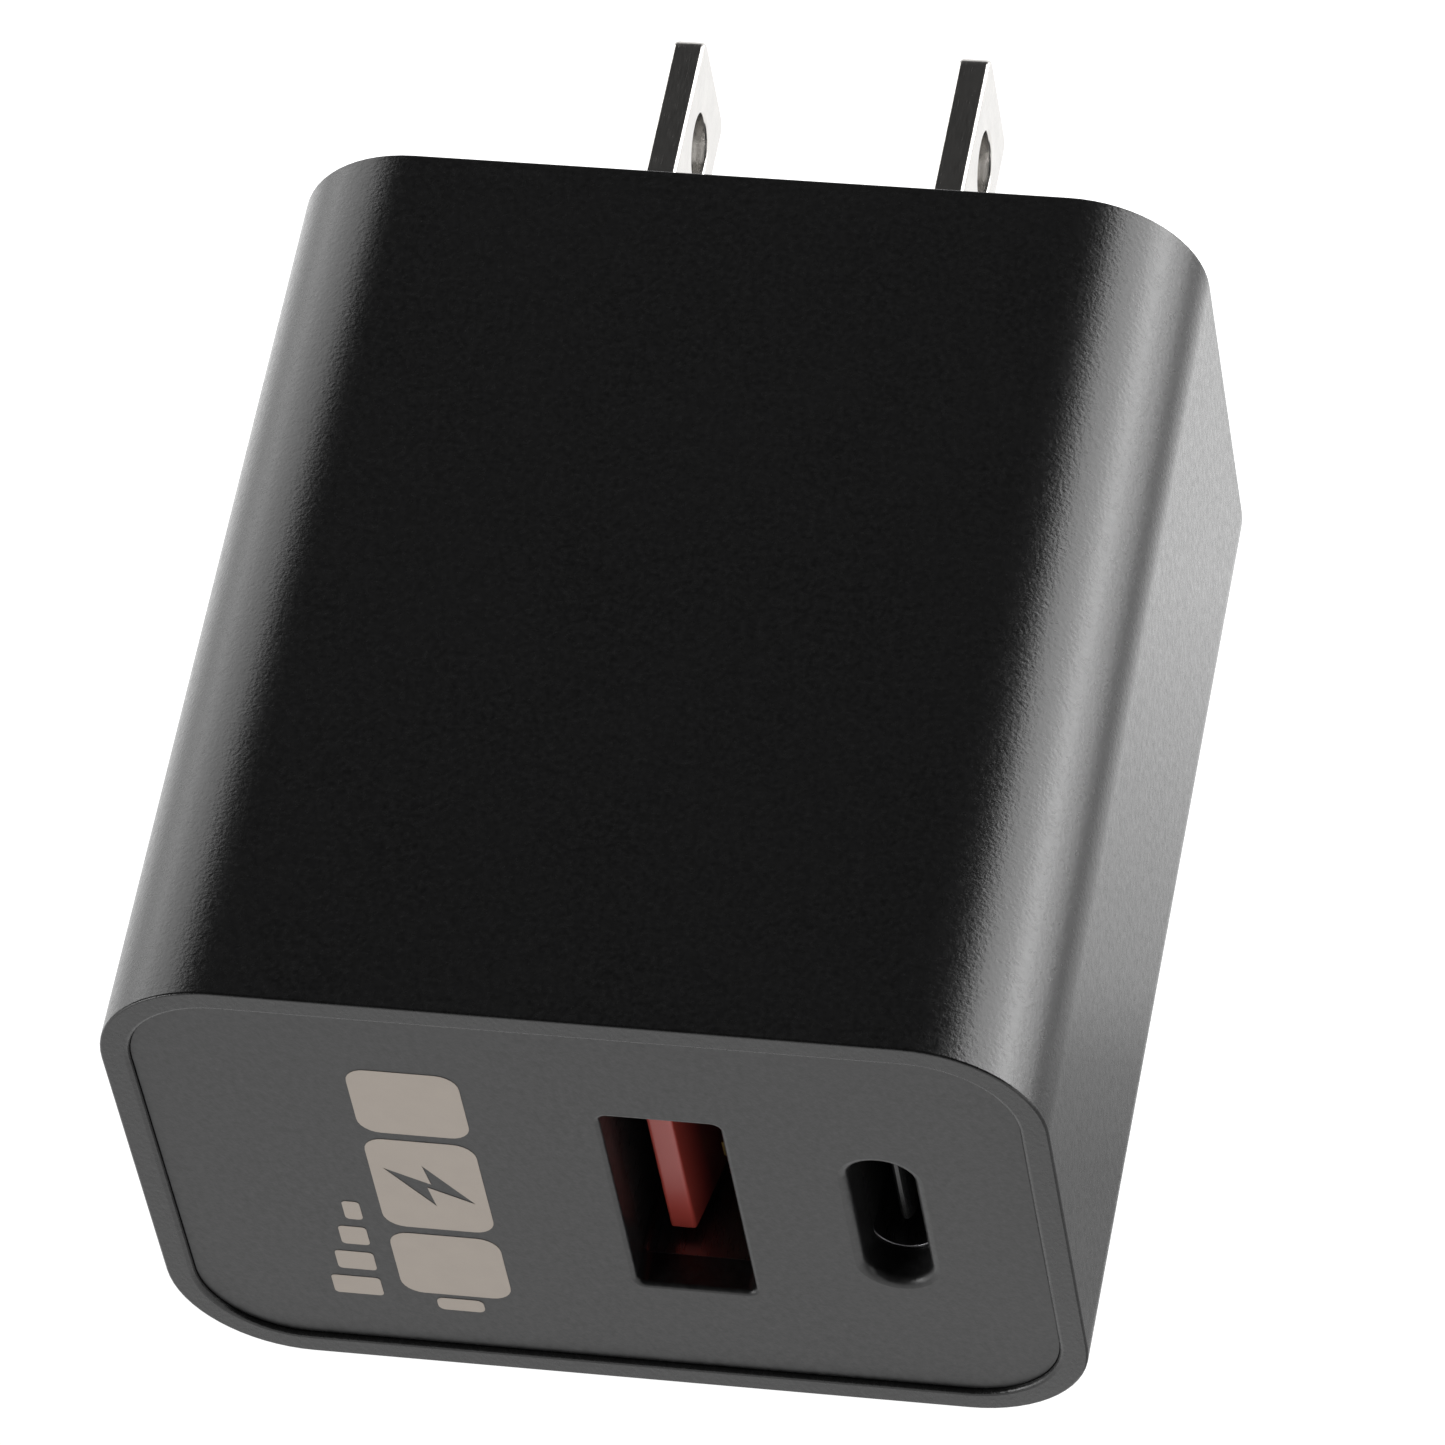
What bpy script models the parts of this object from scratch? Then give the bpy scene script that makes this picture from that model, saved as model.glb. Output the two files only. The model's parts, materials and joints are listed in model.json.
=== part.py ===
"""USB wall charger: a two-port plug-in charger with fixed flat blades, as separate named pieces.

Frame: the origin is the centre of the rear face that meets the wall outlet. +Y points out of that
face along the blades, the ports face -Y, +X is to the right seen from the ports and +Z is up.
Sizes in this file are millimetres; MM turns them into metres where a mesh is made.
"""

import math

import bmesh
import bpy
from mathutils import Vector

MM = 0.001
GAP = 0.2  # clearance between pieces that touch on the real object
SNUG = 0.15  # clearance where one piece is pressed into another

# Housing
WIDTH, HEIGHT, DEPTH = 39.1, 27.0, 42.8
CORNER_R = 5.5
WALL = 1.8
REAR_WALL = 2.0
RIM = 1.2  # width of the edge left round the front plate
REBATE = 2.1  # depth of the seat that the front plate drops into
FRONT_EDGE, REAR_EDGE = 0.2, 0.2  # chamfers of the housing's outer edges
CORNER_STEPS = 8

# Front plate
PLATE_RECESS = 0.25
PLATE_THICK = 1.6
PLATE_EDGE = 0.1  # chamfer of the plate's outline
PLATE_FRONT = -DEPTH + PLATE_RECESS
PLATE_BACK = PLATE_FRONT + PLATE_THICK
TAB_SIZE = (4.0, 3.0, 1.0)
TAB_X = (-4.0, 8.0)

# Ports: both stand upright, side by side at mid height
PORT_Z = 0.0
USB_A_X, USB_C_X = 3.32, 12.1
USB_A_MOUTH = (5.2, 12.7)
USB_A_MOUTH_R = 0.35
USB_C_MOUTH = (3.46, 9.68)
SHELL_WALL = 0.3
SHELL_FRONT = PLATE_BACK + GAP
SHELL_BACK = -30.6
TONGUE_TIP = -40.1
TONGUE_X = (1.13, 2.98)  # the tongue's two flats, measured from the mouth's left wall
TONGUE_WIDE = 11.2
TONGUE_NOSE = 0.7  # how much the tip thins on the contact side
CONTACT_PITCHES = (-3.5, -1.0, 1.0, 3.5)
CONTACT_SIZE = (0.2, 6.4, 1.0)
USB_C_OUTER = (3.16, 8.94)
USB_C_TIP = -40.3
USB_C_TONGUE = (0.7, 6.7)
USB_A_BASE, USB_C_BASE = -32.6, -34.4  # front faces of the two moulded bases

# Blades and what holds them
BLADE_PITCH = 12.7
BLADE_THICK, BLADE_WIDE = 1.4, 6.3
BLADE_TIP, BLADE_ROOT = 15.8, -8.5
BLADE_Z = -0.5
BLADE_NOSE_R = 0.7
BLADE_EDGE = 0.15
BLADE_HOLE_Y, BLADE_HOLE_R = 11.95, 1.6
CARRIER = (22.4, 9.8)
CARRIER_R = 1.6
CARRIER_FLANGE = 1.5  # how far the inner flange reaches past the opening
CARRIER_BACK = -4.2
SPRING_THICK, SPRING_WIDE, SPRING_FOOT = 0.4, 3.0, 2.8

# Boards
BOARD_TOP, BOARD_THICK = -8.2, 1.2
MAIN_BOARD_X = 16.6
MAIN_BOARD_Y = (-29.2, -4.6)
PORT_BOARD_X = (-2.0, 15.9)
PORT_BOARD_Y = (-30.4, -29.4)
PORT_BOARD_Z = (-10.4, 10.4)
RAIL_REACH, RAIL_THICK = 1.85, 0.8
ON_BOARD = BOARD_TOP + GAP
UNDER_BOARD = BOARD_TOP - BOARD_THICK - SNUG
SHEET_Z = (-11.5, -11.2)
SHEET_X = 14.4

# Mains transformer
CORE_WIDE, CORE_LONG, CORE_THICK = 16.0, 14.0, 4.8
CORE_BACK, CORE_LEG, CENTRE_LEG = 2.2, 2.1, 4.0
FLANGE = (11.0, 13.0)
FLANGE_THICK = 0.7
BOBBIN_WALL = 0.5

# Where each part inside stands: x, y and z of its own origin
PLACES = {
    "board_header": (11.0, -28.05, 0.0),
    "fuse": (-13.4, -7.4, 0.0),
    "thermistor": (12.8, -7.6, -3.7),
    "y_capacitor": (-3.8, -26.8, -3.9),
    "x_capacitor": (8.7, -12.4, 0.0),
    "choke": (10.6, -20.4, -5.1),
    "transformer": (-7.6, -17.4, -0.5),
    "bulk_capacitor_upper": (-12.3, -25.0, 6.6),
    "bulk_capacitor_lower": (-12.3, -25.0, -3.5),
    "output_capacitor_left": (4.6, -21.0, 6.6),
    "output_capacitor_right": (11.6, -21.0, 6.6),
    "optocoupler": (2.9, -26.6, ON_BOARD),
}
# Packages under the main board: x, y, then width, depth and height
UNDERSIDE = {
    "bridge_rectifier": (9.0, -9.5, 6.4, 5.0, 1.35),
    "controller_chip": (-6.0, -13.0, 5.0, 6.0, 1.35),
    "sync_rectifier_chip": (-1.5, -23.5, 5.0, 6.0, 1.1),
    "protocol_chip": (6.5, -25.5, 4.0, 4.0, 0.9),
}
BULK_CAN, OUTPUT_CAN = (4.0, 15.0), (3.1, 8.1)  # radius and length
OPTOCOUPLER_SIZE = (3.8, 4.6, 3.5)

AXES = {
    "X": lambda u, v, w: (w, u, v),
    "Y": lambda u, v, w: (u, w, v),
    "Z": lambda u, v, w: (u, v, w),
}


# ---------------------------------------------------------------- outlines and solids


def rounded(width, height, radius, steps=CORNER_STEPS, at=(0.0, 0.0)):
    """Outline of a rectangle with round corners, counter-clockwise."""
    points = []
    for quarter, (su, sv) in enumerate(((1, 1), (-1, 1), (-1, -1), (1, -1))):
        cu = at[0] + su * (width / 2 - radius)
        cv = at[1] + sv * (height / 2 - radius)
        for step in range(steps + 1):
            angle = math.radians(90 * (quarter + step / steps))
            points.append((cu + radius * math.cos(angle), cv + radius * math.sin(angle)))
    return points


def circle(radius, steps=20, at=(0.0, 0.0)):
    angles = [2 * math.pi * step / steps for step in range(steps)]
    return [(at[0] + radius * math.cos(a), at[1] + radius * math.sin(a)) for a in angles]


def skin(sections, axis="Y", ring=False):
    """Solid through outlines of equal count, each given with its place along the axis.

    The two ends are capped, or joined to each other when ring is true.
    """
    bm = bmesh.new()
    loops = []
    for place, points in sections:
        loops.append([bm.verts.new(Vector(AXES[axis](u, v, place)) * MM) for u, v in points])
    pairs = list(zip(loops, loops[1:]))
    if ring:
        pairs.append((loops[-1], loops[0]))
    else:
        bm.faces.new(loops[0])
        bm.faces.new(loops[-1])
    for first, second in pairs:
        for i in range(len(first)):
            j = (i + 1) % len(first)
            bm.faces.new((first[i], first[j], second[j], second[i]))
    bmesh.ops.recalc_face_normals(bm, faces=bm.faces)
    return bm


def prism(points, low, high, axis="Y"):
    return skin([(low, points), (high, points)], axis)


def box(low, high):
    """Solid box between two corners."""
    outline = [(high[0], high[1]), (low[0], high[1]), (low[0], low[1]), (high[0], low[1])]
    return prism(outline, low[2], high[2], "Z")


def eased_prism(width, height, radius, low, high, edge, axis="Z", steps=4):
    """Round-cornered block whose end faces have a chamfer of the given width."""
    small = rounded(width - 2 * edge, height - 2 * edge, radius - edge / 2, steps)
    full = rounded(width, height, radius, steps)
    return skin([(low, small), (low + edge, full), (high - edge, full), (high, small)], axis)


# ---------------------------------------------------------------- objects and materials


def material(name, colour, roughness, metallic=0.0):
    made = bpy.data.materials.new(name)
    made.use_nodes = True
    shader = made.node_tree.nodes["Principled BSDF"]
    shader.inputs["Base Color"].default_value = (*colour, 1.0)
    shader.inputs["Roughness"].default_value = roughness
    shader.inputs["Metallic"].default_value = metallic
    return made


def add(name, bm, finish, at=(0.0, 0.0, 0.0), smooth=False):
    """Named piece from a bmesh, with its own copy of a finish, at a place in millimetres."""
    mesh = bpy.data.meshes.new(name)
    bm.to_mesh(mesh)
    bm.free()
    piece = bpy.data.objects.new(name, mesh)
    piece.location = Vector(at) * MM
    piece.data.materials.append(material(name, *finish))
    if smooth:
        mesh.shade_smooth()
        mesh.set_sharp_from_angle(angle=math.radians(32))
    bpy.context.scene.collection.objects.link(piece)
    piece.parent = ROOT
    return piece


def shape_with(piece, bm, operation, name):
    """Cut a helper solid from a piece, or join it on."""
    mesh = bpy.data.meshes.new(name)
    bm.to_mesh(mesh)
    bm.free()
    helper = bpy.data.objects.new(name, mesh)
    helper.location = piece.location
    helper.hide_render = True
    helper.display_type = "WIRE"
    helper.parent = ROOT
    bpy.context.scene.collection.objects.link(helper)
    modifier = piece.modifiers.new(name, "BOOLEAN")
    modifier.operation = operation
    modifier.object = helper
    modifier.solver = "EXACT"


def cut(piece, bm, name):
    shape_with(piece, bm, "DIFFERENCE", name)


def join(piece, bm, name):
    shape_with(piece, bm, "UNION", name)


HOUSING_FINISH = ((0.02, 0.02, 0.021), 0.38)
BLACK_PLASTIC = ((0.015, 0.015, 0.016), 0.45)
NICKEL = ((0.62, 0.61, 0.58), 0.25, 1.0)
STEEL = ((0.45, 0.45, 0.46), 0.35, 1.0)
GOLD = ((0.85, 0.62, 0.28), 0.25, 1.0)
BRONZE = ((0.72, 0.48, 0.3), 0.35, 1.0)
TONGUE_RED = ((0.5, 0.08, 0.035), 0.4)
BOARD_GREEN = ((0.02, 0.12, 0.05), 0.45)
CHIP_BLACK = ((0.012, 0.012, 0.012), 0.5)
SLEEVE_FILM = ((0.02, 0.03, 0.05), 0.3)
FERRITE = ((0.05, 0.05, 0.055), 0.6)
TAPE_YELLOW = ((0.75, 0.5, 0.04), 0.4)
COPPER = ((0.75, 0.3, 0.12), 0.3, 1.0)
DISC_BLUE = ((0.03, 0.16, 0.5), 0.4)
DISC_GREEN = ((0.03, 0.18, 0.1), 0.5)
FILM_YELLOW = ((0.7, 0.45, 0.03), 0.45)
FUSE_BROWN = ((0.12, 0.06, 0.03), 0.5)
ALUMINIUM = ((0.75, 0.75, 0.76), 0.35, 1.0)
FIBRE_WHITE = ((0.7, 0.68, 0.6), 0.7)


# ---------------------------------------------------------------- housing


def inset_outline(inset):
    return rounded(WIDTH - 2 * inset, HEIGHT - 2 * inset, CORNER_R - inset)


def make_housing_shell():
    """Cup-shaped housing: open at the ports, with a seat for the front plate and a rear wall."""
    seat = -DEPTH + REBATE
    sections = (
        (0.0, REAR_EDGE),
        (-REAR_EDGE, 0.0),
        (-DEPTH + FRONT_EDGE, 0.0),
        (-DEPTH, FRONT_EDGE),
        (-DEPTH, RIM),
        (seat, RIM),
        (seat, WALL),
        (-REAR_WALL, WALL),
    )
    shell = add(
        "housing_shell",
        skin([(y, inset_outline(inset)) for y, inset in sections]),
        HOUSING_FINISH,
        smooth=True,
    )
    opening = rounded(*CARRIER, CARRIER_R, 4, at=(0.0, BLADE_Z))
    cut(shell, prism(opening, -REAR_WALL - 1.0, 1.0), "carrier_opening")
    inner = WIDTH / 2 - WALL
    for side in (-1, 1):
        for level, low in (("lower", BOARD_TOP - BOARD_THICK - GAP - RAIL_THICK), ("upper", ON_BOARD)):
            edges = sorted((side * (inner - RAIL_REACH), side * (inner + WALL / 2)))
            rail = box(
                (edges[0], MAIN_BOARD_Y[0], low),
                (edges[1], -REAR_WALL + 0.5, low + RAIL_THICK),
            )
            join(shell, rail, f"rail_{level}_{'left' if side < 0 else 'right'}")


def make_front_plate():
    """Flat plate with both port openings and four snap tabs behind it."""
    inset = RIM + SNUG
    sections = (
        (PLATE_FRONT, inset + PLATE_EDGE),
        (PLATE_FRONT + PLATE_EDGE, inset),
        (PLATE_BACK, inset),
    )
    plate = add(
        "front_plate",
        skin([(y, inset_outline(i)) for y, i in sections]),
        HOUSING_FINISH,
        smooth=True,
    )
    behind, before = PLATE_BACK + 1.0, PLATE_FRONT - 1.0
    mouth_a = rounded(*USB_A_MOUTH, USB_A_MOUTH_R, 3, at=(USB_A_X, PORT_Z))
    cut(plate, prism(mouth_a, before, behind), "usb_a_mouth")
    mouth_c = rounded(*USB_C_MOUTH, USB_C_MOUTH[0] / 2 - 0.01, 6, at=(USB_C_X, PORT_Z))
    cut(plate, prism(mouth_c, before, behind), "usb_c_mouth")
    wide, long, thick = TAB_SIZE
    top = HEIGHT / 2 - WALL - GAP
    for side, name in ((1, "top"), (-1, "bottom")):
        for index, x in enumerate(TAB_X):
            levels = sorted((side * (top - thick), side * top))
            tab = box(
                (x - wide / 2, PLATE_BACK - 0.5, levels[0]),
                (x + wide / 2, PLATE_BACK + long, levels[1]),
            )
            join(plate, tab, f"tab_{name}_{index}")


# ---------------------------------------------------------------- outlet side


def make_blade_carrier():
    """Moulded insert that grips the blade roots: flush island outside, wider flange inside."""
    width, height = CARRIER[0] - 2 * SNUG, CARRIER[1] - 2 * SNUG
    island = rounded(width, height, CARRIER_R - SNUG, 4)
    flange = rounded(
        CARRIER[0] + 2 * CARRIER_FLANGE, CARRIER[1] + 2 * CARRIER_FLANGE, CARRIER_R, 4
    )
    step = -REAR_WALL - GAP
    carrier = add(
        "blade_carrier",
        skin([(0.0, island), (step, island), (step, flange), (CARRIER_BACK, flange)]),
        BLACK_PLASTIC,
        at=(0.0, 0.0, BLADE_Z),
        smooth=True,
    )
    for side, name in ((-1, "left"), (1, "right")):
        slot = rounded(
            BLADE_THICK + 2 * SNUG, BLADE_WIDE + 2 * SNUG, 0.2, 2, at=(side * BLADE_PITCH / 2, 0.0)
        )
        cut(carrier, prism(slot, CARRIER_BACK - 1.0, 1.0), f"slot_{name}")


def blade_outline():
    """Side view of a blade, along and across it, with the tip's two corners rounded."""
    half = BLADE_WIDE / 2
    points = [(BLADE_ROOT, half), (BLADE_ROOT, -half)]
    for sign, start in ((-1, 270), (1, 0)):
        cy, cz = BLADE_TIP - BLADE_NOSE_R, sign * (half - BLADE_NOSE_R)
        for step in range(5):
            angle = math.radians(start + 90 * step / 4)
            points.append(
                (cy + BLADE_NOSE_R * math.cos(angle), cz + BLADE_NOSE_R * math.sin(angle))
            )
    return points


def make_blade(name, side):
    """Flat contact blade with eased edges and the retention hole near its tip."""
    half = BLADE_THICK / 2
    blade = add(
        name,
        prism(blade_outline(), -half, half, "X"),
        NICKEL,
        at=(side * BLADE_PITCH / 2, 0.0, BLADE_Z),
    )
    bevel = blade.modifiers.new("eased_edges", "BEVEL")
    bevel.width = BLADE_EDGE * MM
    bevel.segments = 1
    hole = circle(BLADE_HOLE_R, 24, at=(BLADE_HOLE_Y, 0.0))
    cut(blade, prism(hole, -2 * BLADE_THICK, 2 * BLADE_THICK, "X"), f"{name}_hole")


def make_contact_spring(name, side):
    """Bent strip from the board up to the inner flat of a blade's root."""
    outer = BLADE_PITCH / 2 - BLADE_THICK / 2 - GAP
    inner = outer - SPRING_THICK
    foot = outer - SPRING_FOOT
    top, sole = 1.5, ON_BOARD
    points = [
        (foot, sole),
        (outer, sole),
        (outer, top),
        (inner, top),
        (inner, sole + SPRING_THICK),
        (foot, sole + SPRING_THICK),
    ]
    points = [(side * x, z) for x, z in points]
    back = BLADE_ROOT + 0.3
    add(name, prism(points, back, back + SPRING_WIDE), BRONZE)


# ---------------------------------------------------------------- boards


def make_boards():
    """Mains board lying low in the housing, and the upright board that the ports stand on."""
    rear, front = MAIN_BOARD_Y[1], MAIN_BOARD_Y[0]
    main = rounded(2 * MAIN_BOARD_X, rear - front, 1.0, 2)
    middle = (rear + front) / 2
    add(
        "main_board",
        prism(main, BOARD_TOP - BOARD_THICK, BOARD_TOP, "Z"),
        BOARD_GREEN,
        at=(0.0, middle, 0.0),
    )
    wide = PORT_BOARD_X[1] - PORT_BOARD_X[0]
    tall = PORT_BOARD_Z[1] - PORT_BOARD_Z[0]
    add(
        "port_board",
        prism(rounded(wide, tall, 1.0, 2), *PORT_BOARD_Y),
        BOARD_GREEN,
        at=(sum(PORT_BOARD_X) / 2, 0.0, sum(PORT_BOARD_Z) / 2),
    )
    header = rounded(9.6, 2.1, 0.2, 2)
    place = PLACES["board_header"]
    add("board_header", prism(header, ON_BOARD, -5.6, "Z"), CHIP_BLACK, at=place)
    length = rear - front - 1.0
    sheet = rounded(2 * SHEET_X, length, 0.5, 2)
    add("insulation_sheet", prism(sheet, *SHEET_Z, "Z"), FIBRE_WHITE, at=(0.0, middle, 0.0))


# ---------------------------------------------------------------- mains side parts


def make_fuse():
    body = [(ON_BOARD, 1.3), (-7.5, 1.7), (0.1, 1.7), (0.6, 1.3)]
    add(
        "fuse",
        skin([(z, circle(r, 14)) for z, r in body], "Z"),
        FUSE_BROWN,
        at=PLACES["fuse"],
        smooth=True,
    )


def make_disc(name, finish, radius, thick):
    """Coated ceramic disc standing on edge, its faces towards the front and the rear."""
    half = thick / 2
    body = [(-half, radius * 0.8), (-half * 0.6, radius), (half * 0.6, radius), (half, radius * 0.8)]
    outlines = [(y, circle(r, 18)) for y, r in body]
    add(name, skin(outlines), finish, at=PLACES[name], smooth=True)


def make_x_capacitor():
    width, depth = 13.0, 4.4
    add(
        "x_capacitor",
        eased_prism(width, depth, 0.5, ON_BOARD, 1.0, 0.3, steps=2),
        FILM_YELLOW,
        at=PLACES["x_capacitor"],
    )


def make_choke():
    """Common-mode choke: a ring core lying on the board with one winding on each half."""
    centre = PLACES["choke"]
    outer, inner, half = 4.3, 2.4, 1.7
    ring = [(-half, circle(outer)), (half, circle(outer)), (half, circle(inner)), (-half, circle(inner))]
    add("choke_core", skin(ring, "Z", ring=True), FERRITE, at=centre, smooth=True)
    wire, turns, per_turn = 0.3, 5, 8
    reach = wire + SNUG
    for name, start in (("choke_winding_left", 105), ("choke_winding_right", -75)):
        curve = bpy.data.curves.new(name, "CURVE")
        curve.dimensions = "3D"
        curve.bevel_depth = wire * MM
        curve.bevel_resolution = 1
        curve.use_fill_caps = True
        spline = curve.splines.new("POLY")
        count = turns * per_turn + 1
        spline.points.add(count - 1)
        for i in range(count):
            along = math.radians(start + 150 * i / (count - 1))
            around = 2 * math.pi * i / per_turn
            # A turn hugs the square section of the core, so it reaches out to the corners.
            squareness = max(abs(math.cos(around)), abs(math.sin(around)))
            radial = ((outer - inner) / 2 + reach) * math.cos(around) / squareness
            height = (half + reach) * math.sin(around) / squareness
            distance = (outer + inner) / 2 + radial
            place = Vector((distance * math.cos(along), distance * math.sin(along), height))
            spline.points[i].co = (*(place * MM), 1.0)
        winding = bpy.data.objects.new(name, curve)
        winding.location = Vector(centre) * MM
        winding.parent = ROOT
        curve.materials.append(material(name, *COPPER))
        bpy.context.scene.collection.objects.link(winding)


def make_electrolytic(name, size, finish):
    """Can capacitor lying along Y, its origin at the rubber end, with a crimp groove near it."""
    radius, length = size
    eased, groove = radius - 0.35, radius - 0.4
    body = [
        (-length, eased),
        (0.35 - length, radius),
        (-2.2, radius),
        (-1.8, groove),
        (-1.4, radius),
        (-0.3, radius),
        (0.0, eased),
    ]
    outlines = [(y, circle(r)) for y, r in body]
    add(name, skin(outlines), finish, at=PLACES[name], smooth=True)


def e_core_outline():
    """One half core seen from above: a back with three legs, open towards -Y."""
    half, back = CORE_WIDE / 2, CORE_LONG / 2
    window = back - CORE_BACK
    mid = CENTRE_LEG / 2
    leg = half - CORE_LEG
    air = GAP / 2
    points = [(half, air), (half, back), (-half, back), (-half, air), (-leg, air), (-leg, window)]
    points += [(-mid, window), (-mid, air), (mid, air), (mid, window), (leg, window), (leg, air)]
    return points


def make_transformer():
    """Two E-shaped ferrite halves, a bobbin on their middle leg and a taped winding round it."""
    place = PLACES["transformer"]
    half_thick = CORE_THICK / 2
    for name, side in (("transformer_core_rear", 1), ("transformer_core_front", -1)):
        points = [(x, side * y) for x, y in e_core_outline()]
        add(name, prism(points, -half_thick, half_thick, "Z"), FERRITE, at=place)
    tube = (CENTRE_LEG + 2 * GAP + 2 * BOBBIN_WALL, CORE_THICK + 2 * GAP + 2 * BOBBIN_WALL)
    bore = (CENTRE_LEG + 2 * GAP, CORE_THICK + 2 * GAP)
    end = CORE_LONG / 2 - CORE_BACK - GAP
    throat = end - FLANGE_THICK
    bobbin_sections = [
        (-end, rounded(*FLANGE, 0.5, 2)),
        (-throat, rounded(*FLANGE, 0.5, 2)),
        (-throat, rounded(*tube, 0.5, 2)),
        (throat, rounded(*tube, 0.5, 2)),
        (throat, rounded(*FLANGE, 0.5, 2)),
        (end, rounded(*FLANGE, 0.5, 2)),
        (end, rounded(*bore, 0.2, 2)),
        (-end, rounded(*bore, 0.2, 2)),
    ]
    bobbin = add("transformer_bobbin", skin(bobbin_sections, ring=True), CHIP_BLACK, at=place)
    foot_low = ON_BOARD - place[2]
    for side in (-1, 1):
        faces = sorted((side * (end - 1.8), side * (end - 0.05)))
        foot = box((-4.5, faces[0], foot_low), (4.5, faces[1], -FLANGE[1] / 2 + 0.4))
        join(bobbin, foot, f"bobbin_foot_{'rear' if side > 0 else 'front'}")
    inner = (tube[0] + 2 * SNUG, tube[1] + 2 * SNUG)
    outer = (FLANGE[0] - 0.4, FLANGE[1] - 1.2)
    pack = throat - SNUG
    winding = [
        (-pack, rounded(*outer, 1.5, 4)),
        (pack, rounded(*outer, 1.5, 4)),
        (pack, rounded(*inner, 0.6, 4)),
        (-pack, rounded(*inner, 0.6, 4)),
    ]
    add("transformer_winding", skin(winding, ring=True), TAPE_YELLOW, at=place, smooth=True)


def make_chip(name, size, at, finish=CHIP_BLACK):
    """Moulded package seen as a block with a chamfered outline; at is the middle of its foot."""
    wide, deep, tall = size
    add(name, eased_prism(wide, deep, 0.3, 0.0, tall, 0.15, steps=1), finish, at=at)


# ---------------------------------------------------------------- ports


def tube(outer, inner, radius, front, back):
    """Stamped shell open at both ends."""
    wall = (outer[0] - inner[0]) / 2
    outside = rounded(*outer, radius, 4)
    inside = rounded(*inner, radius - wall, 4)
    return skin([(front, outside), (back, outside), (back, inside), (front, inside)], ring=True)


def make_usb_a():
    """Upright USB-A socket: steel shell, moulded tongue with its base, and four contacts."""
    at = (USB_A_X, 0.0, PORT_Z)
    outer = (USB_A_MOUTH[0] + 2 * SHELL_WALL, USB_A_MOUTH[1] + 2 * SHELL_WALL)
    add("usb_a_shell", tube(outer, USB_A_MOUTH, 0.65, SHELL_FRONT, SHELL_BACK), STEEL, at, True)
    base = (USB_A_MOUTH[0] - 2 * GAP, USB_A_MOUTH[1] - 2 * GAP)
    base_back = SHELL_BACK - GAP
    left = -USB_A_MOUTH[0] / 2
    flats = (left + TONGUE_X[0], left + TONGUE_X[1])
    insulator = add(
        "usb_a_insulator",
        prism(rounded(*base, 0.3, 2), USB_A_BASE, base_back),
        TONGUE_RED,
        at,
    )
    side_view = [
        (flats[0], TONGUE_TIP),
        (flats[1] - TONGUE_NOSE, TONGUE_TIP),
        (flats[1], TONGUE_TIP + 1.2),
        (flats[1], USB_A_BASE + 0.5),
        (flats[0], USB_A_BASE + 0.5),
    ]
    join(insulator, prism(side_view, -TONGUE_WIDE / 2, TONGUE_WIDE / 2, "Z"), "usb_a_tongue")
    thick, long, wide = CONTACT_SIZE
    face = USB_A_X + flats[1] + SNUG
    end = USB_A_BASE - GAP
    for index, pitch in enumerate(CONTACT_PITCHES, 1):
        middle = PORT_Z + pitch
        strip = box((face, end - long, middle - wide / 2), (face + thick, end, middle + wide / 2))
        add(f"usb_a_contact_{index}", strip, GOLD)


def make_usb_c():
    """Upright USB-C socket: steel shell and moulded tongue with its base."""
    at = (USB_C_X, 0.0, PORT_Z)
    inner = (USB_C_OUTER[0] - 2 * SHELL_WALL, USB_C_OUTER[1] - 2 * SHELL_WALL)
    radius = USB_C_OUTER[0] / 2 - 0.01
    add("usb_c_shell", tube(USB_C_OUTER, inner, radius, SHELL_FRONT, SHELL_BACK), STEEL, at, True)
    base = (inner[0] - 2 * SNUG, inner[1] - 2 * SNUG)
    insulator = add(
        "usb_c_insulator",
        prism(rounded(*base, base[0] / 2 - 0.01, 4), USB_C_BASE, SHELL_BACK - GAP),
        CHIP_BLACK,
        at,
    )
    tongue = rounded(*USB_C_TONGUE, 0.3, 2)
    join(insulator, prism(tongue, USB_C_TIP, USB_C_BASE + 0.5), "usb_c_tongue")


# ---------------------------------------------------------------- assembly


def make_charger():
    make_housing_shell()
    make_front_plate()
    make_blade_carrier()
    for side, name in ((-1, "left"), (1, "right")):
        make_blade(f"blade_{name}", side)
        make_contact_spring(f"contact_spring_{name}", side)
    make_boards()
    make_fuse()
    make_disc("thermistor", DISC_GREEN, 4.0, 3.5)
    make_disc("y_capacitor", DISC_BLUE, 3.9, 3.4)
    make_x_capacitor()
    make_choke()
    make_transformer()
    for end in ("upper", "lower"):
        make_electrolytic(f"bulk_capacitor_{end}", BULK_CAN, SLEEVE_FILM)
    for side in ("left", "right"):
        make_electrolytic(f"output_capacitor_{side}", OUTPUT_CAN, ALUMINIUM)
    make_chip("optocoupler", OPTOCOUPLER_SIZE, PLACES["optocoupler"])
    for name, (x, y, wide, deep, tall) in UNDERSIDE.items():
        make_chip(name, (wide, deep, tall), (x, y, UNDER_BOARD - tall))
    make_usb_a()
    make_usb_c()


for leftover in list(bpy.data.objects):
    bpy.data.objects.remove(leftover)
ROOT = bpy.data.objects.new("usb_wall_charger", None)
bpy.context.scene.collection.objects.link(ROOT)
make_charger()
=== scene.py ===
"""Looks of the USB wall charger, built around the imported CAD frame.

The outside pieces, the sockets and the blades are made again here with fine rounded edges, and
every piece gets a procedural material. Lengths are millimetres until a mesh is made; angles are
degrees. +Y points out of the outlet face, the ports face -Y and +Z is up.
"""

import json
import math

import bmesh
import bpy
from mathutils import Matrix, Vector


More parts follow.
